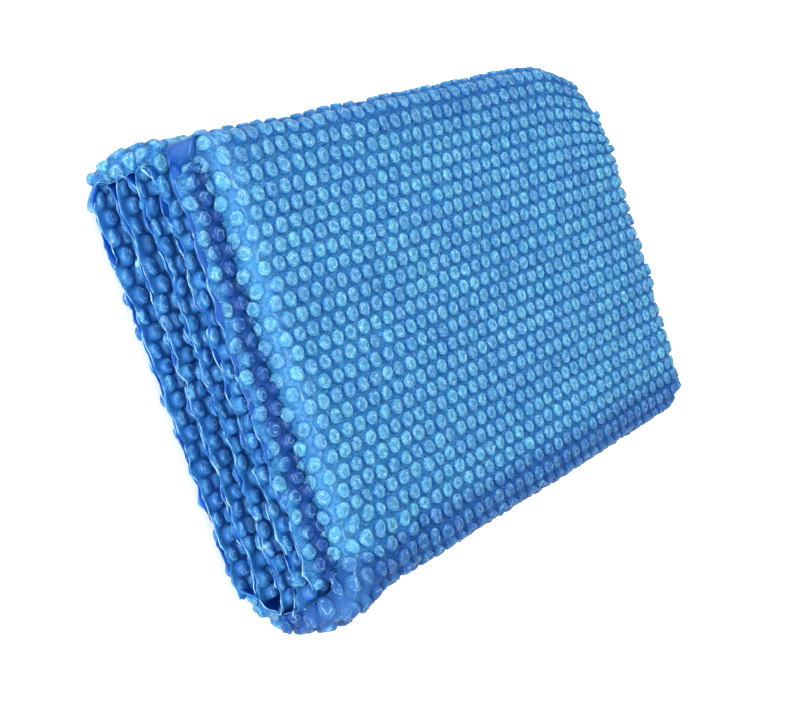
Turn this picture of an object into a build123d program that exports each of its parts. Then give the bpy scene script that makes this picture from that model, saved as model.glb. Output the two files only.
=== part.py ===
"""Folded solar bubble cover for a pool or spa.

One long sheet of bubble film, fan-folded into twelve leaves and lying flat on its back panel.
X runs along the folds, Y from the spine (-Y) to the open folds (+Y), Z up through the stack.
The origin is on the surface the pack lies on, under the middle of its box.

Each leaf and each bend is two plies: the flat backing film and the film of air bubbles welded to it.
Odd leaves carry their bubbles downwards and even leaves upwards, as a fan-folded sheet must.
Leaves 1 to 8 are the back half. Leaves 9 to 12 are the front half, which opens over the spine.
"""
import os
from math import atan2, degrees, radians, sin

from build123d import *

# Driving dimensions, in millimetres
width = 475.0               # along the folds
height = 300.0              # spine to open folds
stack_at_spine = 68.0       # thickness of the stack at the spine edge
stack_at_top = 87.0         # thickness of the stack at the open folds
leaf_count = 12
back_leaves = 8             # leaves 1 to 8 stay with the back half

film = 0.5                  # backing film
bubble_height = 4.9         # air bubbles above the backing film
ply = film + bubble_height

end_step = 2.4              # each leaf's left end stands this much further in than the one below
hinge_gap = 0.3             # clearance between plies that meet at a fold line that opens

wrap_radius = 36.0          # outside of the sheet round the spine's lower edge
corner_radius = 20.0        # outside of the sheet round the spine's upper edge
back_fold_corner = 18.0     # outside corners of the broad fold over the back half
front_fold_corner = 12.0    # outside corners of the narrow fold over the front half

spine_y = -height / 2
top_y = height / 2
inner_top_end = top_y - 22.0        # where the back half's inner leaves turn, at the open side
front_top_end = top_y - 14.0        # where the front half's leaves turn, at the open side
front_spine_end = spine_y + 23.0    # where the front half's inner leaves end, at the spine

# Where each leaf starts at the spine side. The lower ones stop short inside the rounded wrap.
spine_end = {
    1: spine_y + wrap_radius,
    2: spine_y + 32.0,
    3: spine_y + 24.0,
    4: spine_y + 24.0,
    5: spine_y + 15.0,
    6: spine_y + 15.0,
    7: spine_y + 12.0,
    8: spine_y + 12.0,
    9: front_spine_end,
    10: front_spine_end,
    11: front_spine_end + 2.0,
    12: spine_y + corner_radius,
}
top_end = {leaf: inner_top_end for leaf in range(2, back_leaves)}
top_end[1] = top_end[back_leaves] = inner_top_end
top_end[9] = top_end[12] = front_top_end
top_end[10] = top_end[11] = front_top_end - 12.0


def leaf_pitch(y):
    """Rise from one leaf to the next, which grows from the spine to the open folds."""
    at_spine = (stack_at_spine - ply) / (leaf_count - 1)
    at_top = (stack_at_top - ply) / (leaf_count - 1)
    return at_spine + (at_top - at_spine) * (y - spine_y) / height


def leaf_bottom(leaf, y):
    """Height of a leaf's underside at a distance y along the stack."""
    return (leaf - 1) * leaf_pitch(y)


def left_end(leaf):
    """X of a leaf's left end."""
    return -width / 2 + end_step * (leaf - 1)


def bubbles_down(leaf):
    """Odd leaves carry their bubbles on the underside."""
    return leaf % 2 == 1


def write(part, name):
    """Label a finished piece and write its STEP file."""
    part.label = name
    export_step(part, f"parts/{name}.step")


def extrude_along_x(profile, leaf):
    """Turn a YZ profile into a solid from a leaf's left end to the right end of the pack."""
    start = left_end(leaf)
    with BuildPart() as solid:
        with BuildSketch(Plane.YZ.offset(start)):
            add(profile)
        extrude(amount=width / 2 - start)
    return solid.part


def slab_profile(leaf, low, high):
    """Cross-section of one ply of a leaf, between two heights above the leaf's underside."""
    y0, y1 = spine_end[leaf], top_end[leaf]
    with BuildSketch() as sketch:
        with BuildLine():
            Polyline(
                (y0, leaf_bottom(leaf, y0) + low),
                (y1, leaf_bottom(leaf, y1) + low),
                (y1, leaf_bottom(leaf, y1) + high),
                (y0, leaf_bottom(leaf, y0) + high),
                close=True,
            )
        make_face()
    return sketch.sketch


def sector_profile(center, inner, outer, start, end):
    """Part of a ring about a centre, between two angles in degrees."""
    size = end - start
    with BuildSketch() as sketch:
        with BuildLine():
            far = CenterArc(center, outer, start, size)
            near = CenterArc(center, inner, start, size)
            Line(far @ 0, near @ 0)
            Line(far @ 1, near @ 1)
        make_face()
    return sketch.sketch


def make_leaf(leaf):
    """The backing film and the bubble layer of one leaf."""
    film_low = bubble_height if bubbles_down(leaf) else 0.0
    bubble_low = 0.0 if bubbles_down(leaf) else film
    film_part = extrude_along_x(slab_profile(leaf, film_low, film_low + film), leaf)
    bubble_part = extrude_along_x(slab_profile(leaf, bubble_low, bubble_low + bubble_height), leaf)
    write(film_part, f"leaf_{leaf:02d}_film")
    write(bubble_part, f"leaf_{leaf:02d}_bubbles")


def make_hairpin(lower, upper, at_top):
    """A tight bend from one leaf to the next, round the gap between the surfaces that face."""
    y = top_end[lower] if at_top else spine_end[lower]
    gap_low = leaf_bottom(lower, y) + ply
    gap_high = leaf_bottom(upper, y)
    center = (y, (gap_low + gap_high) / 2)
    inner = (gap_high - gap_low) / 2
    bubbles_inside = not bubbles_down(lower)
    between = inner + (bubble_height if bubbles_inside else film)
    outer = inner + ply
    first_angle = -90 if at_top else 90
    inside = sector_profile(center, inner, between, first_angle, first_angle + 180)
    outside = sector_profile(center, between, outer, first_angle, first_angle + 180)
    film_profile, bubble_profile = (outside, inside) if bubbles_inside else (inside, outside)
    name = f"fold_{lower:02d}_{upper:02d}"
    write(extrude_along_x(film_profile, upper), f"{name}_film")
    write(extrude_along_x(bubble_profile, upper), f"{name}_bubbles")


def end_profile(y_start, low, high, reach, corner):
    """A closed shape with two rounded corners, from y_start out to y_start + reach."""
    y_far = y_start + reach
    with BuildSketch() as sketch:
        with BuildLine():
            Line((y_start, high), (y_start, low))
            Line((y_start, low), (y_far - corner, low))
            CenterArc((y_far - corner, low + corner), corner, -90, 90)
            Line((y_far, low + corner), (y_far, high - corner))
            CenterArc((y_far - corner, high - corner), corner, 0, 90)
            Line((y_far - corner, high), (y_start, high))
        make_face()
    return sketch.sketch


def make_over_fold(lower, upper, reach, corner):
    """A fold over the ends of the leaves between two leaves, with its bubbles outside."""
    y = top_end[lower]
    low = leaf_bottom(lower, y)
    high = leaf_bottom(upper, y) + ply
    name = f"fold_{lower:02d}_{upper:02d}"
    for piece, start, end in (("bubbles", 0.0, bubble_height), ("film", bubble_height, ply)):
        with BuildSketch() as ring:
            add(end_profile(y, low + start, high - start, reach - start, corner - start))
            add(end_profile(y, low + end, high - end, reach - end, corner - end), mode=Mode.SUBTRACT)
        write(extrude_along_x(ring.sketch, upper), f"{name}_{piece}")


def make_spine():
    """The sheet round the spine, in three lengths that part at the two fold lines.

    The lower length stays with the back half and the upper one with the front half.
    Each fold line is on the outside of the sheet, half-way round its corner.
    """
    wrap_center = (spine_y + wrap_radius, wrap_radius)
    corner_y = spine_y + corner_radius
    corner_center = (corner_y, leaf_bottom(leaf_count, corner_y) + ply - corner_radius)
    lower_play = degrees(hinge_gap / wrap_radius)
    upper_play = degrees(hinge_gap / corner_radius)
    for piece, start, end in (("bubbles", 0.0, bubble_height), ("film", bubble_height, ply)):
        wrap = (wrap_center, wrap_radius - end, wrap_radius - start)
        corner = (corner_center, corner_radius - end, corner_radius - start)
        lower = sector_profile(*wrap, 225 + lower_play, 270)
        upper = sector_profile(*corner, 90, 135 - upper_play)
        with BuildSketch() as panel:
            add(sector_profile(*wrap, 180, 225))
            add(sector_profile(*corner, 135, 180))
            with BuildLine():
                Polyline(
                    (spine_y + start, wrap_center[1]),
                    (spine_y + end, wrap_center[1]),
                    (spine_y + end, corner_center[1]),
                    (spine_y + start, corner_center[1]),
                    close=True,
                )
            make_face()
        write(extrude_along_x(lower, 1), f"spine_lower_{piece}")
        write(extrude_along_x(panel.sketch, 1), f"spine_panel_{piece}")
        write(extrude_along_x(upper, leaf_count), f"spine_upper_{piece}")
    slope = degrees(atan2(leaf_bottom(leaf_count, top_y) - leaf_bottom(leaf_count, spine_y), height))
    half_turn = sin(radians(45))
    lower_line = (wrap_center[0] - wrap_radius * half_turn, wrap_center[1] - wrap_radius * half_turn)
    upper_line = (corner_center[0] - corner_radius * half_turn, corner_center[1] + corner_radius * half_turn)
    print("lower fold line y, z:", lower_line)
    print("upper fold line y, z:", upper_line)
    print("front panel slope, degrees:", slope)


os.makedirs("parts", exist_ok=True)

for leaf in range(1, leaf_count + 1):
    make_leaf(leaf)

for lower in (2, 4, 6, 10):
    make_hairpin(lower, lower + 1, at_top=True)
for lower in (3, 5, 7, 9):
    make_hairpin(lower, lower + 1, at_top=False)

make_over_fold(1, back_leaves, reach=top_y - top_end[1], corner=back_fold_corner)
make_over_fold(back_leaves + 1, leaf_count, reach=top_y - top_end[12], corner=front_fold_corner)
make_spine()
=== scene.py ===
"""Looks of the folded bubble pool cover: one sheet of air bubbles, modelled bubble by bubble.

The sheet is laid out flat as a lattice of bubbles, s along its length and x across its width.
Its path through the fold, in the YZ plane, is worked out from the CAD leaves and folds, and every
vertex is carried from its flat place onto that path, on the side of the film that it belongs to.
"""

import math

import bpy
import numpy as np
from mathutils import Euler, Matrix, Vector


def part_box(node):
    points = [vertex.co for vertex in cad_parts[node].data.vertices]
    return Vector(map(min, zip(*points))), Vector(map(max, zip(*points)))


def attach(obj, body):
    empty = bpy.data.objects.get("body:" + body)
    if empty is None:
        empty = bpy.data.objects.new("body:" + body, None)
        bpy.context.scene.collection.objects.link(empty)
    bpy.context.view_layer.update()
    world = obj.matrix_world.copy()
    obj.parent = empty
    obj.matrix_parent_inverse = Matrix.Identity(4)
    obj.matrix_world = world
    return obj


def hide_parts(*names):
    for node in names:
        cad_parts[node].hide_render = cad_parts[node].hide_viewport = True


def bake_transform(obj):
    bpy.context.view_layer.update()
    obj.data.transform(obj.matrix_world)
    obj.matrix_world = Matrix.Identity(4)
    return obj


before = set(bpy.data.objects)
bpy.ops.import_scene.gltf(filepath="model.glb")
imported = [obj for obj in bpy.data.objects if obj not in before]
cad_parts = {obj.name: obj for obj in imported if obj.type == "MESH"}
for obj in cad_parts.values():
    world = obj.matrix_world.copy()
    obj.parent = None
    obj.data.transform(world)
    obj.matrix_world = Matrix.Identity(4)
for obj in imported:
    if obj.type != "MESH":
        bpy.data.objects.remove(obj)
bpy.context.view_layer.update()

MM = 0.001

# The bubble lattice
PITCH = 12.5 * MM                       # bubble to bubble along a row
ROW = PITCH * math.sqrt(3) / 2          # row to row
BUBBLE_RADIUS = 5.3 * MM
BUBBLE_HEIGHT = 4.1 * MM
SHEET_THICKNESS = 0.5 * MM
HALF_FILM = SHEET_THICKNESS / 2
SEED = 7

# The path through the fold
PATH_STEP = 0.25 * MM
PATH_SMOOTHING = 1.6 * MM
PATH_SPARE = 12 * MM                    # straight run past each free end of the sheet

LEAVES = 12
BACK_LEAVES = 8
INNER_LEAVES = (2, 3, 4, 5, 6, 7, 10, 11)
BACK_FOLD_RADIUS = 12.85 * MM           # of the broad fold's two bends


# --------------------------------------------------------------------------------------
# Noise
# --------------------------------------------------------------------------------------
def wave_noise(points, size, seed, waves=14):
    """Smooth noise of about -1 to 1 with features of the given size, as a sum of plane waves."""
    rng = np.random.default_rng(seed)
    total = np.zeros(len(points))
    for _ in range(waves):
        direction = rng.normal(size=points.shape[1])
        direction /= np.linalg.norm(direction)
        length = size * rng.uniform(0.7, 1.6)
        total += np.sin(points @ direction * (2 * math.pi / length) + rng.uniform(0, 2 * math.pi))
    return total / math.sqrt(waves / 2) / 1.6


def smoothstep(low, high, value):
    t = np.clip((value - low) / (high - low), 0, 1)
    return t * t * (3 - 2 * t)


# --------------------------------------------------------------------------------------
# The sheet's path, from the CAD nodes
# --------------------------------------------------------------------------------------
def film_line(leaf):
    """A leaf's middle line in YZ: its spine end and its open end."""
    low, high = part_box(f"leaf_{leaf:02d}_film")
    return np.array((low.y, low.z + HALF_FILM)), np.array((high.y, high.z - HALF_FILM))


class PathMaker:
    """Collects lines and arcs in YZ and remembers how far along each named stretch ends."""

    def __init__(self, start):
        self.points = [np.array(start)]
        self.ends = {}

    def line_to(self, point):
        self.points.append(np.array(point))

    def arc_about(self, center, degrees_turned):
        center = np.array(center)
        arm = self.points[-1] - center
        steps = max(6, int(abs(degrees_turned) / 3))
        for step in range(1, steps + 1):
            turn = math.radians(degrees_turned * step / steps)
            c, s = math.cos(turn), math.sin(turn)
            self.points.append(center + np.array((c * arm[0] - s * arm[1], s * arm[0] + c * arm[1])))

    def hairpin_to(self, point, degrees_turned):
        self.arc_about((self.points[-1] + np.array(point)) / 2, degrees_turned)
        self.line_to(point)

    def mark(self, name):
        steps = np.diff(np.array(self.points), axis=0)
        self.ends[name] = float(np.hypot(steps[:, 0], steps[:, 1]).sum())


def over_fold(path, upper, lower, node):
    """Down round the open ends of the leaves between two leaves."""
    film_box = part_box(f"{node}_film")
    y_far = film_box[1].y - HALF_FILM
    radius = y_far - path.points[-1][0] if node == "fold_09_12" else BACK_FOLD_RADIUS
    radius = min(radius, (upper[1] - lower[1]) / 2 - 0.5 * MM, y_far - upper[0] - 0.1 * MM)
    path.line_to((y_far - radius, upper[1]))
    path.arc_about((y_far - radius, upper[1] - radius), -90)
    path.line_to((y_far, lower[1] + radius))
    path.arc_about((y_far - radius, lower[1] + radius), -90)
    path.line_to(lower)


def make_path():
    """The whole sheet, from the free end of leaf 2 to the free end of leaf 11."""
    spine_end = {leaf: film_line(leaf)[0] for leaf in range(1, LEAVES + 1)}
    open_end = {leaf: film_line(leaf)[1] for leaf in range(1, LEAVES + 1)}
    along = open_end[2] - spine_end[2]
    path = PathMaker(spine_end[2] - along / np.linalg.norm(along) * PATH_SPARE)
    for leaf in range(2, BACK_LEAVES + 1):
        towards_open = leaf % 2 == 0
        path.line_to(open_end[leaf] if towards_open else spine_end[leaf])
        path.mark(f"leaf_{leaf}")
        if leaf < BACK_LEAVES:
            next_start = (open_end if towards_open else spine_end)[leaf + 1]
            path.hairpin_to(next_start, 180 if towards_open else -180)
            path.mark(f"turn_{leaf}")
    over_fold(path, open_end[8], open_end[1], "fold_01_08")
    path.mark("back_fold")
    path.line_to(spine_end[1])
    path.mark("leaf_1")
    panel_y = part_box("spine_panel_film")[0].y + HALF_FILM
    wrap = spine_end[1][0] - panel_y
    path.arc_about((spine_end[1][0], spine_end[1][1] + wrap), -90)
    path.mark("wrap")
    corner = spine_end[12][0] - panel_y
    path.line_to((panel_y, spine_end[12][1] - corner))
    path.mark("panel")
    path.arc_about((spine_end[12][0], spine_end[12][1] - corner), -90)
    path.line_to(spine_end[12])
    path.mark("corner")
    path.line_to(open_end[12])
    path.mark("leaf_12")
    over_fold(path, open_end[12], open_end[9], "fold_09_12")
    path.mark("front_fold")
    path.line_to(spine_end[9])
    path.mark("leaf_9")
    path.hairpin_to(spine_end[10], -180)
    path.mark("turn_9")
    path.line_to(open_end[10])
    path.mark("leaf_10")
    path.hairpin_to(open_end[11], 180)
    path.mark("turn_10")
    path.line_to(spine_end[11])
    path.mark("leaf_11")
    last = path.points[-1] - path.points[-2]
    path.line_to(path.points[-1] + last / np.linalg.norm(last) * PATH_SPARE)
    return path


def sample_path(path):
    """Evenly spaced points, normals on the bubble side, and distance along, s, from the free end."""
    points = np.array(path.points)
    along = np.concatenate(([0], np.cumsum(np.hypot(*np.diff(points, axis=0).T))))
    keep = np.concatenate(([True], np.diff(along) > 1e-9))
    points, along = points[keep], along[keep]
    s = np.arange(0, along[-1], PATH_STEP)
    y, z = np.interp(s, along, points[:, 0]), np.interp(s, along, points[:, 1])
    reach = int(3 * PATH_SMOOTHING / PATH_STEP)
    kernel = np.exp(-0.5 * (np.arange(-reach, reach + 1) * PATH_STEP / PATH_SMOOTHING) ** 2)
    kernel /= kernel.sum()
    y, z = (np.convolve(np.pad(line, reach, "reflect", reflect_type="odd"), kernel, "valid")
            for line in (y, z))
    ty, tz = np.gradient(y), np.gradient(z)
    size = np.hypot(ty, tz)
    return {"s": s - PATH_SPARE, "y": y, "z": z, "ny": -tz / size, "nz": ty / size}


path = make_path()
line = sample_path(path)
ends = {name: distance - PATH_SPARE for name, distance in path.ends.items()}
SHEET_LENGTH = ends["leaf_11"]


# --------------------------------------------------------------------------------------
# The cut ends of the sheet
# --------------------------------------------------------------------------------------
HALF_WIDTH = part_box("leaf_01_film")[1].x
STEP = (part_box("leaf_12_film")[0].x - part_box("leaf_01_film")[0].x) / (LEAVES - 1)
FILM_LINES = {leaf: film_line(leaf) for leaf in range(1, LEAVES + 1)}
TOP_EDGE, BOTTOM_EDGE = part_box("fold_01_08_film")[1].y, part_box("spine_panel_film")[0].y

FLUSH_Y = (-0.150, -0.120)              # from the flush end of the spine to the leaves' full steps
FLUSH_SHARE = 0.8                       # how much smaller the steps are at the spine
FREE_END_SHORT = 19 * MM                # leaf 11 stops this much short of the front panel's left end
FRONT_INSET = 6 * MM                    # the front pair steps in this much more
FOLD_FLAP = 6 * MM                      # the broad fold's left end stands out this much and curls shut
RIGHT_SPARE = 12 * MM                   # the front's right end is this much longer, as it curls back
RIGHT_OVER = 1 * MM                     # and every leaf's is this much longer
TOP_ROUND = 40 * MM                     # reach of the right end's rounded corners
BOTTOM_ROUND = 20 * MM
LONG_WAVE, SHORT_WAVE = 30 * MM, 9 * MM  # the two sizes of unevenness along a cut


def on_path(s):
    """Y and Z of the sheet's middle at distances s along it, before it settles."""
    return np.interp(s, line["s"], line["y"]), np.interp(s, line["s"], line["z"])


def film_height(leaf, y):
    """Z of a leaf's film at y."""
    low, high = FILM_LINES[leaf]
    return low[1] + (high[1] - low[1]) * (y - low[0]) / (high[0] - low[0])


def pair_at(y, z):
    """Which back-to-back pair of leaves a place is level with: 0 is the lowest, 5 the front."""
    lowest = (film_height(1, y) + film_height(2, y)) / 2
    highest = (film_height(11, y) + film_height(12, y)) / 2
    return np.clip(5 * (z - lowest) / (highest - lowest), -0.5, 5.5)


def leaf_span(leaf):
    """Where a leaf starts and stops along the sheet."""
    before = {1: "back_fold", 2: None, 9: "front_fold", 10: "turn_9", 11: "turn_10", 12: "corner"}
    start = before.get(leaf, f"turn_{leaf - 1}")
    return (ends[start] if start else 0.0), ends[f"leaf_{leaf}"]


def within(s, start, stop, ease):
    """1 between start and stop, easing to 0 over a distance inside both."""
    return smoothstep(start, start + ease, s) * (1 - smoothstep(stop - ease, stop, s))


def ragged(s, slow, quick, seed):
    """How unevenly an end is cut: a slow wave and a quick one, of these depths."""
    return (slow * wave_noise(np.c_[s], LONG_WAVE, SEED + seed)
            + quick * wave_noise(np.c_[s], SHORT_WAVE, SEED + seed + 1))


def left_cut(s):
    """X of the sheet's left end. The leaves step in towards the front, and the spine stays flush."""
    y, z = on_path(s)
    pair = pair_at(y, z)
    stepped = STEP * (0.5 + 2 * pair) + FRONT_INSET * smoothstep(4.3, 4.9, pair)
    spine_flush = 1 - smoothstep(*FLUSH_Y, y)
    start, stop = leaf_span(LEAVES - 1)
    short = FREE_END_SHORT * within(s, start + 10 * MM, stop + 60 * MM, 50 * MM)
    flap = FOLD_FLAP * within(s, ends["leaf_8"] - 12 * MM, ends["back_fold"] + 12 * MM, 24 * MM)
    uneven = ragged(s, 1.0 * MM, 0.7 * MM, 1)
    return -HALF_WIDTH + stepped * (1 - FLUSH_SHARE * spine_flush) + short - flap + uneven


def rounded(into):
    """How much of a round corner's reach is cut away, from none at its start to nearly all at its end."""
    return 1 - np.sqrt(1 - 0.98 * into ** 2)


def right_cut(s):
    """X of the sheet's right end, with the pack's corners rounded off."""
    y, z = on_path(s)
    into_top = np.clip((y - (TOP_EDGE - TOP_ROUND)) / TOP_ROUND, 0, 1)
    into_bottom = np.clip((BOTTOM_EDGE + BOTTOM_ROUND - y) / BOTTOM_ROUND, 0, 1)
    front = smoothstep(2.6, 5, pair_at(y, z))
    inset = TOP_ROUND * rounded(into_top) * (0.35 + 0.5 * front) + BOTTOM_ROUND * rounded(into_bottom)
    return HALF_WIDTH + RIGHT_SPARE * front + RIGHT_OVER - inset + ragged(s, 0.8 * MM, 0.5 * MM, 3)


# --------------------------------------------------------------------------------------
# How the pack sits: swell, curl and creases
# --------------------------------------------------------------------------------------
CUT_REACH = 15 * MM                     # how far in from a cut end the leaves pinch and flutter
PINCH_EASE = 14 * MM                    # a leaf's pinch comes in over this much at its folds
FILM_GAP = 0.4 * MM                     # pinched films stop this far from the middle between them
FRONT_PINCH = 0.3                       # the front pair closes by only this share
INNER_REACH = 8 * MM                    # the folds inside the broad fold reach this far up into it
FOLD_SWELL, LEFT_SWELL = 3 * MM, 8 * MM  # the broad fold's swell all along, and more at its left end
FRONT_LIFT = 6 * MM                     # how far up the front's top left corner is drawn
RISE, RISE_FALL = 6.5 * MM, 8.5 * MM    # the back leaves' left ends bend up, the outer ones less
RISE_PAIR, RISE_SPREAD = 1.3, 2.7
LEFT_ROLL = 18 * MM                     # how much of the front leaf's left end bends down
ROLL_RADIUS = 4.5 * MM
ROLL_TURN = math.radians(78)
ROLL_DEPTH = 3 * MM                     # films up to this far below the front leaf bend with it
RIGHT_SINK, SINK_REACH = 9 * MM, 30 * MM
DROOP_DOWN, DROOP_IN = 26 * MM, 6 * MM  # the front's right top corner, along the panel and into it
TOP_BEND = 8 * MM                       # how far the top of the front panel bends back
CRUMPLE = (2.2 * MM, 2.2 * MM, 1.8 * MM)
SLOW_WAVE = 1.3 * MM                    # waves through the whole stack
FLUTTER, FINE_FLUTTER = 1.6 * MM, 1.0 * MM
SIDE_FLUTTER = 0.9 * MM
SPINE_CURL, SPINE_SWELL, FOLD_CURL = 12 * MM, 6 * MM, 16 * MM
DRAWN_IN = 0.4                          # what curls in takes up this share of itself in width


class Place:
    """Points of the sheet in the even stack, with how near they are to its ends and its front."""

    def __init__(self, s, x):
        self.s, self.x = s, x
        self.y, self.z = on_path(s)
        self.pair = pair_at(self.y, self.z)
        self.from_left = np.clip(x - left_cut(s), 0, None)
        self.from_right = np.clip(right_cut(s) - x, 0, None)
        self.near_cut = np.exp(-self.from_left / CUT_REACH) + np.exp(-self.from_right / CUT_REACH)
        above_spine = smoothstep(BOTTOM_EDGE - 5 * MM, BOTTOM_EDGE + 30 * MM, self.y)
        self.front = smoothstep(4.0, 4.9, self.pair) * above_spine


# each of these gives how far the points move in x, y and z
def pinched(at):
    """Films that lie back to back meet at the cut ends."""
    shift = np.zeros(len(at.s))
    for leaf in range(1, LEAVES + 1):
        mate = leaf + 1 if leaf % 2 else leaf - 1
        meet = (film_height(mate, at.y) - film_height(leaf, at.y)) / 2
        if leaf > LEAVES - 2:
            meet = meet * FRONT_PINCH
        on_leaf = within(at.s, *leaf_span(leaf), PINCH_EASE)
        shift += np.sign(meet) * np.clip(np.abs(meet) - FILM_GAP, 0, None) * on_leaf
    return 0, 0, shift * np.clip(at.near_cut, 0, 1)


def swollen(at):
    """The broad fold swells, the folds inside it reach up into it, and the front is drawn up with it."""
    inside = 1 - smoothstep(ends["leaf_8"] - 60 * MM, ends["leaf_8"], at.s)
    reach = INNER_REACH * smoothstep(0.050, 0.128, at.y) * inside
    on_fold = within(at.s, ends["leaf_8"] - 20 * MM, ends["back_fold"] + 20 * MM, 30 * MM)
    swell = (FOLD_SWELL + LEFT_SWELL * np.exp(-at.from_left / (90 * MM))) * on_fold
    lift = FRONT_LIFT * np.exp(-at.from_left / (110 * MM)) * smoothstep(0.105, 0.135, at.y) * at.front
    return 0, reach + swell + lift, 0


def risen(at):
    """At the left end the back leaves bend up a little."""
    rise = RISE - RISE_FALL * ((at.pair - RISE_PAIR) / RISE_SPREAD) ** 2
    back = 1 - smoothstep(4.1, 4.6, at.pair)
    return 0, 0, rise * back * np.exp(-at.from_left / (16 * MM)) * smoothstep(-0.152, -0.110, at.y)


def rolled(at):
    """The front leaf's left end bends down over a crease, and the front's right end sinks."""
    depth = np.clip(film_height(LEAVES, at.y) - at.z, 0, ROLL_DEPTH)
    past = np.clip(LEFT_ROLL - at.from_left, 0, None) * (at.front > 0)
    turn = np.clip(past / ROLL_RADIUS, 0, ROLL_TURN)
    straight = past - turn * ROLL_RADIUS
    inward = past - (ROLL_RADIUS - depth) * np.sin(turn) - straight * math.cos(ROLL_TURN)
    down = (ROLL_RADIUS - depth) * (1 - np.cos(turn)) + straight * math.sin(ROLL_TURN)
    sink = RIGHT_SINK * np.clip(1 - at.from_right / SINK_REACH, 0, 1) ** 2
    return inward * at.front, 0, -(down + sink) * at.front


def drooped(at):
    """The front's right top corner droops, and its top bends back."""
    corner = (np.clip((at.x - 0.150) / 0.090, 0, 1) ** 2 * smoothstep(0.040, TOP_EDGE, at.y)
              * smoothstep(2.5, 4.5, at.pair))
    bend = TOP_BEND * np.clip((at.y - 0.100) / 0.050, 0, 1) ** 2 * smoothstep(4.0, 4.6, at.pair)
    return 0, -DROOP_DOWN * corner, -DROOP_IN * corner - bend


def crumpled(at):
    """The front panel is crumpled at its lower left, and a little along its top edge."""
    lower_left = np.exp(-((at.x + 0.145) / 0.075) ** 2 - ((at.y + 0.120) / 0.045) ** 2)
    top = 0.35 * np.exp(-((at.y - TOP_EDGE + 10 * MM) / (24 * MM)) ** 2)
    share = np.maximum(lower_left, top) * (at.pair > 4.3)
    return [depth * share * wave_noise(np.c_[at.x, at.y], 34 * MM, SEED + 20 + axis)
            for axis, depth in enumerate(CRUMPLE)]


def waved(at):
    """Slow waves run through the stack, and pairs of leaves flutter together at their cut ends."""
    # there are no slow waves where the pack rests on the floor
    lifted = np.clip(at.z / 0.080, 0, 1)
    slow = SLOW_WAVE * wave_noise(np.c_[at.x, at.y * 1.3, at.z * 0.6], 110 * MM, SEED + 10) * lifted
    by_pair = np.c_[at.y, np.round(at.pair) * 60 * MM]
    flutter = (FLUTTER * wave_noise(by_pair, 26 * MM, SEED + 11)
               + FINE_FLUTTER * wave_noise(by_pair, 11 * MM, SEED + 12))
    loose = np.exp(-((at.pair - np.round(at.pair)) / 0.22) ** 2)
    off_floor = np.clip((at.z - 4 * MM) / (8 * MM), 0, 1)
    sideways = SIDE_FLUTTER * wave_noise(np.c_[at.y, at.z], 16 * MM, SEED + 13) * at.near_cut
    return sideways, 0, slow + flutter * loose * at.near_cut * off_floor


def settled(at):
    """Where points of the even stack really lie."""
    p = np.c_[at.x, at.y, at.z]
    for moved in (pinched, swollen, risen, rolled, drooped, crumpled, waved):
        for axis, distance in enumerate(moved(at)):
            p[:, axis] += distance
    return p


def tucked(at):
    """How far the cut ends of the spine and of the broad fold curl in towards the leaves."""
    on_spine = within(at.s, ends["leaf_1"] - 6 * MM, ends["corner"] + 4 * MM, 16 * MM)
    on_fold = within(at.s, ends["leaf_8"] - 6 * MM, ends["back_fold"] + 6 * MM, 16 * MM)
    curl = np.exp(-(at.from_left / (10 * MM)) ** 2) + 0.5 * np.exp(-(at.from_right / (12 * MM)) ** 2)
    swell = np.exp(-((at.from_left - 30 * MM) / (22 * MM)) ** 2)
    return on_spine * (SPINE_CURL * curl - SPINE_SWELL * swell) + on_fold * FOLD_CURL * curl


def film_at(s, x):
    """The film's middle on the folded sheet, from flat places (s, x)."""
    at = Place(s, x)
    ny = np.interp(s, line["s"], line["ny"])
    nz = np.interp(s, line["s"], line["nz"])
    inward = tucked(at)
    drawn_in = DRAWN_IN * np.clip(inward, 0, None) * -np.sign(x)
    p = settled(at) - np.c_[-drawn_in, ny * inward, nz * inward]
    # bubbles stand below the lowest leaf's film, so it stays clear of the floor
    p[:, 2] = np.maximum(p[:, 2], BUBBLE_HEIGHT + SHEET_THICKNESS)
    return p


def outward(s, x):
    """The direction in which bubbles stand at flat places (s, x)."""
    near = 1.5 * MM
    across = film_at(s, x + near) - film_at(s, x - near)
    along = film_at(s + near, x) - film_at(s - near, x)
    normal = np.cross(across, along)
    return normal / np.linalg.norm(normal, axis=1)[:, None]


# --------------------------------------------------------------------------------------
# The bubble lattice as a mesh
# --------------------------------------------------------------------------------------
UNIT_X = PITCH / 4
UNIT_S = PITCH / math.sqrt(3) / 4
# twelve points round one bubble's cell, in those units, from the +x side anticlockwise
CELL = np.array([(2, 0), (2, 2), (1, 3), (0, 4), (-1, 3), (-2, 2),
                 (-2, 0), (-2, -2), (-1, -3), (0, -4), (1, -3), (2, -2)])
AROUND = len(CELL)
WAYS = np.arange(AROUND) * (2 * math.pi / AROUND)
SNAP = 1.3 * MM                         # lattice points this near a cut end are moved onto it
ROOM = 0.35 * MM                        # flat film left between a bubble and a cut end
LEAST_ROOM = 0.55                       # bubbles cut narrower than this share have lost their air
LEAST_WIDTH = 0.3 * PITCH               # narrower scraps of a cell at a cut end are left out
LEAST_MIDDLE = 0.2 * PITCH              # and so are those narrower than this at their middle
SLACK_SHARE, SLACK_HEIGHT = 0.07, 0.68  # this share of the bubbles is slack, and this much as high
CRUSHED = 0.45                          # how much lower a bubble can be right at a cut end
LEAN = 0.9                              # how far bubbles can lean there
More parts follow.
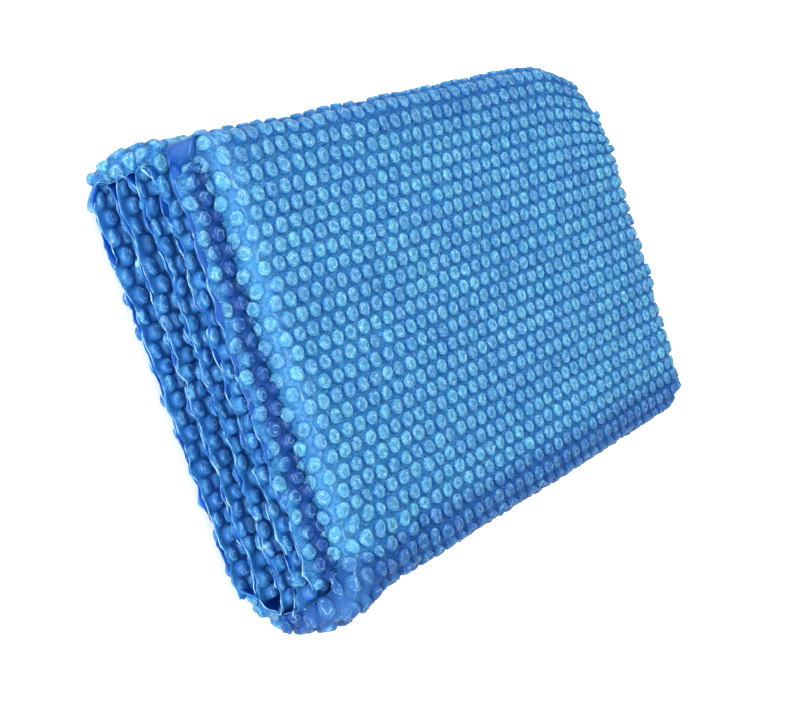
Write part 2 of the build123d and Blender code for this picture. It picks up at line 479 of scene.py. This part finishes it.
# a bubble's rings: share of its radius, and of its height
FINE_RINGS = ((1.08, 0.0), (1.0, 0.0), (0.97, 0.42), (0.88, 0.80), (0.70, 0.97), (0.42, 1.0))
PLAIN_RINGS = ((1.0, 0.0), (0.93, 0.62), (0.6, 1.0))
FRONT_PIECES = ("cover_leaf_12", "cover_spine_upper", "cover_front_fold")
BEHIND_FRONT = ("cover_leaf_10", "cover_leaf_11")
FAR_FROM_CREASE = 20.0
FLAT_SHARE = 1.2                        # the share of its radius that flat film counts as
MIDDLE_TONE = 0.5


def cut_to_width(x, s):
    """Brings places past a cut end, or nearly at it, onto the cut."""
    left, right = left_cut(s), right_cut(s)
    x = np.where(x < left + SNAP, left, x)
    return np.where(x > right - SNAP, right, x)


def lattice(first_row, last_row):
    """Column i, row j and centre (x, s) of every cell that lies on the sheet between two rows."""
    columns = int(2 * HALF_WIDTH / PITCH) + 2
    i, j = (grid.ravel() for grid in np.meshgrid(np.arange(-2, columns), np.arange(first_row, last_row)))
    x = -HALF_WIDTH + (i + 0.5 + 0.5 * (j % 2)) * PITCH
    s = (j + 0.5) * ROW
    outline_x = x[:, None] + CELL[:, 0] * UNIT_X
    outline_s = s[:, None] + CELL[:, 1] * UNIT_S
    kept = cut_to_width(outline_x.ravel(), outline_s.ravel()).reshape(outline_x.shape)
    on_sheet = (np.ptp(kept, axis=1) > LEAST_WIDTH) & (np.ptp(kept[:, [0, 6]], axis=1) > LEAST_MIDDLE)
    return i[on_sheet], j[on_sheet], x[on_sheet], s[on_sheet]


def draw(i, j, which):
    """A number from 0 to 1 for each bubble, the same every run, from its place on the sheet."""
    mixed = (i + 64) * 73856093 ^ (j + 512) * 19349663 ^ (which + SEED) * 83492791
    mixed = (mixed ^ (mixed >> 13)) * 1274126177 & 0x7FFFFFFF
    mixed = (mixed ^ (mixed >> 16)) * 668265263 & 0x7FFFFFFF
    return ((mixed ^ (mixed >> 15)) & 0xFFFFF) / 0xFFFFF


def bubble_rings(i, j, x, s, rings):
    """Places (x, s, h) of every bubble's ring points, ring by ring, and of its crown."""
    def column(which, low=0.0, high=1.0):
        return (low + (high - low) * draw(i, j, which))[:, None]

    radius = BUBBLE_RADIUS * column(1, 0.95, 1.04)
    low = np.maximum(x - PITCH / 2, left_cut(s))[:, None]
    high = np.minimum(x + PITCH / 2, right_cut(s))[:, None]
    x = (low + high) / 2
    room = np.clip(((high - low) / 2 - ROOM) / radius, 0, 1)
    slack = np.where(column(3) < SLACK_SHARE, SLACK_HEIGHT, 1.0)
    at_cut = np.exp(-np.minimum(x[:, 0] - left_cut(s), right_cut(s) - x[:, 0]) / (10 * MM))[:, None]
    height = BUBBLE_HEIGHT * column(2, 0.86, 1.04) * slack * np.sqrt(room)
    height = height * (1 - CRUSHED * column(14) * at_cut)
    dish = column(4, 0.0, 0.16)
    dent, dent_u, dent_v = column(5) ** 2 * 0.42, column(6, -0.5, 0.5), column(7, -0.5, 0.5)
    crease, crease_way, crease_off = column(8, 0.0, 0.24), column(9, 0, math.pi), column(10, -0.4, 0.4)
    lean_u, lean_v = column(11, -0.09, 0.09), column(12, -0.09, 0.09)

    def lifted(u, v, lift, wrinkle):
        h = lift - dish * np.exp(-(u ** 2 + v ** 2) / 0.18)
        h = h - dent * np.exp(-((u - dent_u) ** 2 + (v - dent_v) ** 2) / 0.14)
        across = u * np.cos(crease_way) + v * np.sin(crease_way) - crease_off
        return np.clip(h - crease * np.exp(-(across / 0.15) ** 2) + wrinkle, 0.02, None)

    placed = []
    for n, (share, lift) in enumerate(rings):
        first_draw = 20 + n * AROUND
        wrinkle = np.stack([draw(i, j, first_draw + k) for k in range(AROUND)], 1) - 0.5
        u = share * np.cos(WAYS) + lean_u * lift + 0.05 * wrinkle * (lift > 0)
        v = share * np.sin(WAYS) + lean_v * lift
        h = lifted(u, v, lift, 0.13 * wrinkle) * height if lift else np.zeros_like(u)
        placed.append((x + u * room * radius, s[:, None] + v * radius, h))
    crown = (x + lean_u * radius, s[:, None] + lean_v * radius, lifted(lean_u, lean_v, 1.0, 0.0) * height)
    return placed, crown, room[:, 0] > LEAST_ROOM


def build_sheet(name, first_row, last_row, rings):
    """One stretch of the sheet as a closed mesh: bubbles on one side, flat film on the other."""
    i, j, x, s = lattice(first_row, last_row)
    cells = len(i)
    corner_x = (4 * i + 2 * (j % 2))[:, None] + CELL[:, 0]
    corner_s = 6 * j[:, None] + CELL[:, 1]
    corners = np.stack([corner_x, corner_s], -1).reshape(-1, 2)
    rim, outline = np.unique(corners, axis=0, return_inverse=True)
    outline = outline.reshape(cells, AROUND)
    rims = len(rim)
    rim_s = ROW / 2 + rim[:, 1] * UNIT_S
    rim_x = cut_to_width(-HALF_WIDTH + PITCH / 2 + rim[:, 0] * UNIT_X, rim_s)

    # every point stands off the film along the direction at its own place, or at its bubble's centre
    rim_out = outward(rim_s, rim_x)
    points = {"x": [rim_x, rim_x], "s": [rim_s, rim_s], "out": [rim_out, rim_out],
              "h": [np.full(rims, HALF_FILM), np.full(rims, -HALF_FILM)],
              "share": [np.full(rims, FLAT_SHARE)] * 2, "tone": [np.full(rims, MIDDLE_TONE)] * 2}
    total = 2 * rims

    def add(px, ps, ph, out, share, tone):
        """Adds an array of points and gives back their numbers, in its shape."""
        nonlocal total
        points["out"].append(np.repeat(out, px.shape[1], axis=0))
        for field, value in zip(("x", "s", "h", "share", "tone"), (px, ps, ph, share, tone)):
            points[field].append(np.broadcast_to(value, px.shape).ravel())
        numbers = total + np.arange(px.size).reshape(px.shape)
        total += px.size
        return numbers

    quads, triangles = [], []
    after = np.roll(np.arange(AROUND), -1)

    def fan(ring, center):
        hub = np.broadcast_to(center, ring.shape)
        triangles.append(np.stack([ring, ring[:, after], hub], -1).reshape(-1, 3))

    tone = draw(i, j, 13)
    middle_x = rim_x[outline].mean(axis=1)[:, None]
    out = outward(s, middle_x[:, 0])
    to_cut = np.minimum(x - left_cut(s), right_cut(s) - x)
    leaning = np.stack([draw(i, j, 15 + axis) - 0.5 for axis in range(3)], 1)
    near_cut = np.exp(-(np.clip(to_cut, 0, None) / (14 * MM)) ** 2)
    bubble_out = out + LEAN * leaning * near_cut[:, None]
    under = add(middle_x, s[:, None], np.full((cells, 1), -HALF_FILM), out, 0.0, MIDDLE_TONE)
    fan(outline[:, ::-1] + rims, under)

    placed, crown, fits = bubble_rings(i, j, x, s, rings)
    plain = ~fits
    flat_hub = add(middle_x[plain], s[plain, None], np.full((plain.sum(), 1), HALF_FILM), out[plain],
                   FLAT_SHARE, tone[plain, None])
    fan(outline[plain], flat_hub)
    previous = outline[fits]
    for (px, ps, ph), (share, lift) in zip(placed, rings):
        off_film = bubble_out if lift else out
        ring = add(px[fits], ps[fits], ph[fits] + HALF_FILM, off_film[fits], share, tone[fits, None])
        quads.append(np.stack([previous, previous[:, after], ring[:, after], ring], -1).reshape(-1, 4))
        previous = ring
    px, ps, ph = crown
    fan(previous, add(px[fits], ps[fits], ph[fits] + HALF_FILM, bubble_out[fits], 0.0, tone[fits, None]))

    # the cut rim joins the two sides along every edge that only one cell has
    edges = np.stack([outline, outline[:, after]], -1).reshape(-1, 2)
    code = edges[:, 0] * rims + edges[:, 1]
    back = edges[:, 1] * rims + edges[:, 0]
    a, b = edges[~np.isin(code, back)].T
    quads.append(np.stack([b, a, a + rims, b + rims], -1))

    p = {field: np.concatenate(values) for field, values in points.items()}
    co = film_at(p["s"], p["x"]) + p["out"] * p["h"][:, None]
    mesh = mesh_from(name, co, np.concatenate(quads), np.concatenate(triangles))
    store_looks(mesh, name, p)
    piece = bpy.data.objects.new(name, mesh)
    bpy.context.scene.collection.objects.link(piece)
    return piece


def store_looks(mesh, name, p):
    """Stores what the material needs to know of each vertex, from its flat place and its piece."""
    at = Place(p["s"], p["x"])
    from_cut = np.minimum(at.from_left, at.from_right)
    front = name in FRONT_PIECES
    behind_front = name in BEHIND_FRONT
    between = "leaf" in name and name not in FRONT_PIECES + BEHIND_FRONT

    # painted shade, as a darker blue: round the spine where it faces down, in the hollow behind the front
    # leaf, and at the front's top
    spine = 0.6 + 0.3 * np.exp(-at.from_left / (40 * MM))
    spine = spine * within(at.s, ends["wrap"] - 20 * MM, ends["corner"] + 18 * MM, 14 * MM)
    hollow_shade = 0.9 * behind_front * smoothstep(5 * MM, 10 * MM, from_cut)
    top = 0.25 * front * smoothstep(TOP_EDGE - 45 * MM, TOP_EDGE - 10 * MM, at.y)
    # how much light comes through between the back leaves, near their cut ends
    seen_in = smoothstep(-1 * MM, 7 * MM, from_cut) * (1 - smoothstep(30 * MM, 50 * MM, from_cut))
    # millimetres from the front leaf's crease, and a far place for the pieces that have none
    from_crease = (at.from_left - LEFT_ROLL) / MM if front else np.full(len(at.s), FAR_FROM_CREASE)

    store(mesh, "share", p["share"])
    store(mesh, "tone", p["tone"])
    # painted light towards the front's right edge
    store(mesh, "right_edge_light", 0.65 * front * np.exp(-(at.from_right / (10 * MM)) ** 2))
    # the share of painted shade at each vertex
    store(mesh, "painted_shade", np.maximum(np.maximum(spine, hollow_shade), top))
    store(mesh, "lit_through", 0.8 * between * seen_in)
    store(mesh, "from_cut", from_cut / MM)
    store(mesh, "from_crease", np.clip(from_crease, -FAR_FROM_CREASE, FAR_FROM_CREASE))
    store(mesh, "under", (p["h"] < 0).astype(float))
    flat = mesh.attributes.new("flat", "FLOAT_VECTOR", "POINT")
    flat.data.foreach_set("vector", np.c_[p["x"], p["s"], p["h"]].astype(np.float32).ravel())


def mesh_from(name, points, quads, triangles):
    """A smooth-shaded mesh from arrays of points, four-sided and three-sided faces."""
    mesh = bpy.data.meshes.new(name)
    mesh.vertices.add(len(points))
    mesh.vertices.foreach_set("co", points.astype(np.float32).ravel())
    corners = np.concatenate([quads.ravel(), triangles.ravel()]).astype(np.int32)
    sizes = np.concatenate([np.full(len(quads), 4), np.full(len(triangles), 3)]).astype(np.int32)
    mesh.loops.add(len(corners))
    mesh.loops.foreach_set("vertex_index", corners)
    mesh.polygons.add(len(sizes))
    mesh.polygons.foreach_set("loop_start", (np.cumsum(sizes) - sizes).astype(np.int32))
    mesh.polygons.foreach_set("use_smooth", np.ones(len(sizes), bool))
    mesh.update(calc_edges=True)
    mesh.validate()
    return mesh


def store(mesh, name, values):
    attribute = mesh.attributes.new(name, "FLOAT", "POINT")
    attribute.data.foreach_set("value", values.astype(np.float32))


# --------------------------------------------------------------------------------------
# Materials
# --------------------------------------------------------------------------------------
# a bubble's colours from its crown down, with a painted highlight on its side and painted shade at its
# foot, then those of the film and of what lies on it, painted light and shade among them
CROWN, SHOULDER = (0.075, 0.355, 0.620), (0.105, 0.420, 0.670)
SIDE_HIGHLIGHT, LOW_SIDE = (0.130, 0.440, 0.665), (0.065, 0.370, 0.650)
FOOT_SHADE, FILM = (0.024, 0.210, 0.540), (0.038, 0.290, 0.640)
CRINKLE_SHADE, CRINKLE_LIGHT = (0.50, 0.68, 0.84), (1.26, 1.17, 1.06)
WRINKLE_SHADE, WRINKLE_LIGHT = (0.004, 0.090, 0.300), (0.34, 0.72, 0.95)
# painted shade, and painted light coming through between the leaves
SHADE_PAINT, LIT_THROUGH = (0.010, 0.080, 0.370), (0.056, 0.300, 0.800)
ARC_LIGHT = (0.42, 0.80, 1.0)
DULL_TONE, BRIGHT_TONE = (0.86, 0.86, 0.94), (1.12, 1.12, 1.02)
# the flat side's own blue, darkened as painted shade
FLAT_SIDE_SHADED = (0.014, 0.120, 0.480)
# painted light near the front leaf's crease and at the front's right edge
CREASE_LIGHT, RIGHT_EDGE_LIGHT = (0.20, 0.62, 0.86), (0.030, 0.330, 0.680)
# pale lines: stress whitening with painted highlight at the crease, painted highlight at the cut ends
WHITENING_AND_HIGHLIGHT = (0.42, 0.76, 0.95)
TRANSLUCENCE = 0.6


def bubble_plastic():
    """Glossy blue polyethylene that lets light through, paler where a bubble holds air."""
    material = bpy.data.materials.new("bubble_film")
    material.use_nodes = True
    nodes, links = material.node_tree.nodes, material.node_tree.links
    shader = nodes["Principled BSDF"]
    shader.inputs["Roughness"].default_value = 0.2
    shader.inputs["IOR"].default_value = 1.5
    shader.inputs["Specular IOR Level"].default_value = 0.25
    shader.inputs["Coat Weight"].default_value = 0.05
    shader.inputs["Coat Roughness"].default_value = 0.08

    def attribute(name):
        node = nodes.new("ShaderNodeAttribute")
        node.attribute_name = name
        return node.outputs["Vector" if name == "flat" else "Fac"]

    def ramp(source, *stops):
        node = nodes.new("ShaderNodeValToRGB")
        elements = node.color_ramp.elements
        while len(elements) < len(stops):
            elements.new(0.5)
        for element, (place, color) in zip(elements, stops):
            element.position = place
            element.color = (*color, 1) if isinstance(color, tuple) else (color,) * 3 + (1,)
        links.new(source, node.inputs["Fac"])
        return node.outputs["Color"]

    def mixed(a, b, factor, mode="MIX"):
        node = nodes.new("ShaderNodeMix")
        node.data_type = "RGBA"
        node.blend_type = mode
        for socket, value in ((node.inputs[0], factor), (node.inputs[6], a), (node.inputs[7], b)):
            if isinstance(value, bpy.types.NodeSocket):
                links.new(value, socket)
            else:
                socket.default_value = (*value, 1) if isinstance(value, tuple) else value
        return node.outputs[2]

    def noise(scale, detail, distortion):
        node = nodes.new("ShaderNodeTexNoise")
        node.inputs["Scale"].default_value = scale
        node.inputs["Detail"].default_value = detail
        node.inputs["Distortion"].default_value = distortion
        links.new(flat, node.inputs["Vector"])
        return node.outputs["Fac"]

    def math_node(operation, *values):
        node = nodes.new("ShaderNodeMath")
        node.operation = operation
        for socket, value in zip(node.inputs, values):
            if isinstance(value, bpy.types.NodeSocket):
                links.new(value, socket)
            else:
                socket.default_value = value
        return node.outputs[0]

    flat = attribute("flat")
    share = attribute("share")
    # from a bubble's crown out to the flat film: bubble, painted highlight ring on its side, painted
    # shade at its foot, film
    color = ramp(share, (0.0, CROWN), (0.45, SHOULDER), (0.80, SIDE_HIGHLIGHT), (0.90, LOW_SIDE), (0.975, FOOT_SHADE),
                 (1.0, FILM))
    crinkle = noise(260, 2.5, 1.6)
    color = mixed(color, ramp(crinkle, (0.36, CRINKLE_SHADE), (0.64, CRINKLE_LIGHT)), 0.9, "MULTIPLY")
    # fine wrinkles in the film: each has a lit side and a shaded side
    wrinkle = noise(210, 2, 1.2)
    color = mixed(color, WRINKLE_SHADE, ramp(wrinkle, (0.52, 0.0), (0.55, 0.55), (0.60, 0.0)))
    color = mixed(color, WRINKLE_LIGHT, ramp(wrinkle, (0.455, 0.0), (0.485, 0.42), (0.515, 0.0)))
    # painted shade round the spine, in the hollow behind the front leaf and at the front's top, and
    # painted light where light comes through between the leaves
    color = mixed(color, SHADE_PAINT, attribute("painted_shade"))
    color = mixed(color, LIT_THROUGH, attribute("lit_through"))
    # painted highlights: broken arcs of light round each bubble, bent by the wrinkles of its skin, fewer
    # where shade is painted
    bent = math_node("MULTIPLY_ADD", noise(170, 1.5, 0.8), 0.9, math_node("ADD", share, -0.45))
    arcs = ramp(bent, (0.34, 0.0), (0.46, 1.0), (0.60, 0.0), (0.72, 0.0), (0.80, 0.9), (0.88, 0.0))
    broken = ramp(noise(260, 1, 0.5), (0.44, 0.0), (0.58, 1.0))
    on_bubble = ramp(share, (0.90, 0.85), (0.97, 0.0))
    light = mixed(mixed(arcs, broken, 1.0, "MULTIPLY"), on_bubble, 1.0, "MULTIPLY")
    light = mixed(light, (0.0, 0.0, 0.0), math_node("MULTIPLY", attribute("painted_shade"), 0.5))
    color = mixed(color, ARC_LIGHT, light)
    # no two bubbles have quite the same tone
    color = mixed(color, ramp(attribute("tone"), (0.0, DULL_TONE), (1.0, BRIGHT_TONE)), 1.0, "MULTIPLY")
    # the flat side's own blue, made darker as painted shade for the hollows and gaps where it shows
    color = mixed(color, FLAT_SIDE_SHADED, attribute("under"))
    # painted light: the film is paler close to the front leaf's crease, and towards the front's right
    # edge
    from_crease = attribute("from_crease")
    fall = math_node("MULTIPLY", math_node("ABSOLUTE", from_crease), 0.009)
    color = mixed(color, CREASE_LIGHT, math_node("MAXIMUM", math_node("SUBTRACT", 0.16, fall), 0.0))
    color = mixed(color, RIGHT_EDGE_LIGHT, attribute("right_edge_light"))
    # pale lines along the crease, which wander, partly stress whitening and partly painted highlight, and
    # painted highlights along the cut ends
    broken_white = ramp(noise(100, 1, 0), (0.44, 0.05), (0.60, 1.0))
    wander = math_node("MULTIPLY_ADD", noise(90, 2, 0), 5.0, math_node("ADD", from_crease, -2.5))
    crease = math_node("SUBTRACT", 1.0, math_node("MULTIPLY", math_node("ABSOLUTE", wander), 0.9))
    crease = math_node("MULTIPLY", math_node("MAXIMUM", crease, 0.0), 0.7)
    cut = math_node("SUBTRACT", 1.0, math_node("MULTIPLY", attribute("from_cut"), 2.2))
    line_share = math_node("MAXIMUM", math_node("MAXIMUM", cut, 0.0), crease)
    color = mixed(color, WHITENING_AND_HIGHLIGHT, mixed(line_share, broken_white, 1.0, "MULTIPLY"))
    links.new(color, shader.inputs["Base Color"])

    bump = nodes.new("ShaderNodeBump")
    bump.inputs["Strength"].default_value = 0.7
    bump.inputs["Distance"].default_value = 0.0009
    links.new(crinkle, bump.inputs["Height"])
    links.new(bump.outputs["Normal"], shader.inputs["Normal"])

    through = nodes.new("ShaderNodeBsdfTranslucent")
    links.new(color, through.inputs["Color"])
    both = nodes.new("ShaderNodeMixShader")
    both.inputs["Fac"].default_value = TRANSLUCENCE
    links.new(shader.outputs["BSDF"], both.inputs[1])
    links.new(through.outputs["BSDF"], both.inputs[2])
    links.new(both.outputs["Shader"], nodes["Material Output"].inputs["Surface"])
    return material


def floor_paint():
    material = bpy.data.materials.new("pale_floor")
    material.use_nodes = True
    shader = material.node_tree.nodes["Principled BSDF"]
    shader.inputs["Base Color"].default_value = (0.93, 0.93, 0.94, 1)
    shader.inputs["Roughness"].default_value = 0.9
    shader.inputs["Specular IOR Level"].default_value = 0.1
    return material


# --------------------------------------------------------------------------------------
# The pieces
# --------------------------------------------------------------------------------------
SPINE_RUN = 30 * MM                     # the spine's pieces take in this much of leaves 1 and 12


def row_at(s):
    return int(round(s / ROW))


def middle(a, b):
    return (ends[a] + ends[b]) / 2


def stretches():
    """Each piece's name, its start and end along the sheet, its CAD nodes, and what it rides on."""
    found = []
    start = 0.0
    for leaf in range(2, BACK_LEAVES + 1):
        stop = middle(f"leaf_{leaf}", f"turn_{leaf}") if leaf < BACK_LEAVES else ends["leaf_8"]
        nodes = [f"leaf_{leaf:02d}"]
        if leaf < BACK_LEAVES:
            nodes.append(f"fold_{leaf:02d}_{leaf + 1:02d}")
        found.append((f"cover_leaf_{leaf:02d}", start, stop, nodes, "back_half"))
        start = stop
    found.append(("cover_back_fold", ends["leaf_8"], ends["back_fold"], ["fold_01_08"], "back_half"))
    wrap_start = ends["leaf_1"] - SPINE_RUN
    found.append(("cover_leaf_01", ends["back_fold"], wrap_start, ["leaf_01"], "back_half"))
    panel_middle = middle("wrap", "panel")
    found.append(("cover_spine_lower", wrap_start, panel_middle, ["spine_lower", "spine_panel"],
                  ("back_half", "spine")))
    front_start = ends["corner"] + SPINE_RUN
    found.append(("cover_spine_upper", panel_middle, front_start, ["spine_upper"],
                  ("spine", "front_half")))
    found.append(("cover_leaf_12", front_start, ends["leaf_12"], ["leaf_12"], "front_half"))
    found.append(("cover_front_fold", ends["leaf_12"], ends["front_fold"], ["fold_09_12"], "front_half"))
    turn_9 = middle("leaf_9", "turn_9")
    turn_10 = middle("leaf_10", "turn_10")
    found.append(("cover_leaf_09", ends["front_fold"], turn_9, ["leaf_09", "fold_09_10"], "front_half"))
    found.append(("cover_leaf_10", turn_9, turn_10, ["leaf_10", "fold_10_11"], "front_half"))
    found.append(("cover_leaf_11", turn_10, SHEET_LENGTH, ["leaf_11"], "front_half"))
    return found


inner = {f"cover_leaf_{leaf:02d}" for leaf in INNER_LEAVES}
film = bubble_plastic()

for name, start, stop, nodes, rides_on in stretches():
    piece = build_sheet(name, row_at(start), row_at(stop), PLAIN_RINGS if name in inner else FINE_RINGS)
    piece.data.materials.append(film)
    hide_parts(*[f"{node}_{ply}" for node in nodes for ply in ("film", "bubbles")])
    if rides_on == "back_half" or rides_on == "front_half":
        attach(piece, rides_on)
    elif name == "cover_spine_lower":
        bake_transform(piece)
    else:
        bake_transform(piece)


# --------------------------------------------------------------------------------------
# Floor, light and camera
# --------------------------------------------------------------------------------------
FLOOR_HALF = 6.0
CAMERA_PLACE = (-0.8367, 0.0355, 0.6986)
CAMERA_DEGREES = (19.575, -46.777, -30.032)
LENS, SENSOR = 68.4, 36
SHIFT = (0.0065, 0.00125)
# name, place, target, size and power
LIGHTS = (("key", (0.1, 0.25, 1.7), (0, 0, 0.05), (1.5, 1.5), 28),
          ("end_fill", (-1.5, 0.1, 0.6), (-0.2, 0, 0.05), (1.2, 0.9), 38),
          ("glint", (0.4, 1.2, 0.9), (0, 0, 0.05), (0.5, 0.5), 9))


def make_stage():
    half = FLOOR_HALF
    mesh = bpy.data.meshes.new("floor")
    corners = [(-half, -half, 0), (half, -half, 0), (half, half, 0), (-half, half, 0)]
    mesh.from_pydata(corners, [], [(0, 1, 2, 3)])
    floor = bpy.data.objects.new("floor", mesh)
    floor.data.materials.append(floor_paint())
    bpy.context.scene.collection.objects.link(floor)
    world = bpy.data.worlds.new("studio")
    bpy.context.scene.world = world
    world.use_nodes = True
    background = world.node_tree.nodes["Background"]
    background.inputs["Color"].default_value = (1.0, 1.0, 1.0, 1)
    background.inputs["Strength"].default_value = 1.0


def area_light(name, place, target, size, power):
    data = bpy.data.lights.new(name, "AREA")
    data.shape = "RECTANGLE"
    data.size, data.size_y = size
    data.energy = power
    light = bpy.data.objects.new(name, data)
    light.location = place
    light.rotation_euler = (Vector(target) - Vector(place)).to_track_quat("-Z", "Y").to_euler()
    bpy.context.scene.collection.objects.link(light)


def make_camera():
    """Looks at the front panel from the left and a little above its middle, rolled as the pack leans."""
    data = bpy.data.cameras.new("camera")
    data.sensor_width, data.lens = SENSOR, LENS
    data.shift_x, data.shift_y = SHIFT
    camera = bpy.data.objects.new("camera", data)
    bpy.context.scene.collection.objects.link(camera)
    turn = Euler([math.radians(angle) for angle in CAMERA_DEGREES])
    camera.matrix_world = Matrix.LocRotScale(Vector(CAMERA_PLACE), turn, None)
    bpy.context.scene.camera = camera


make_stage()
for light in LIGHTS:
    area_light(*light)
make_camera()
bpy.context.scene.view_settings.view_transform = "Standard"
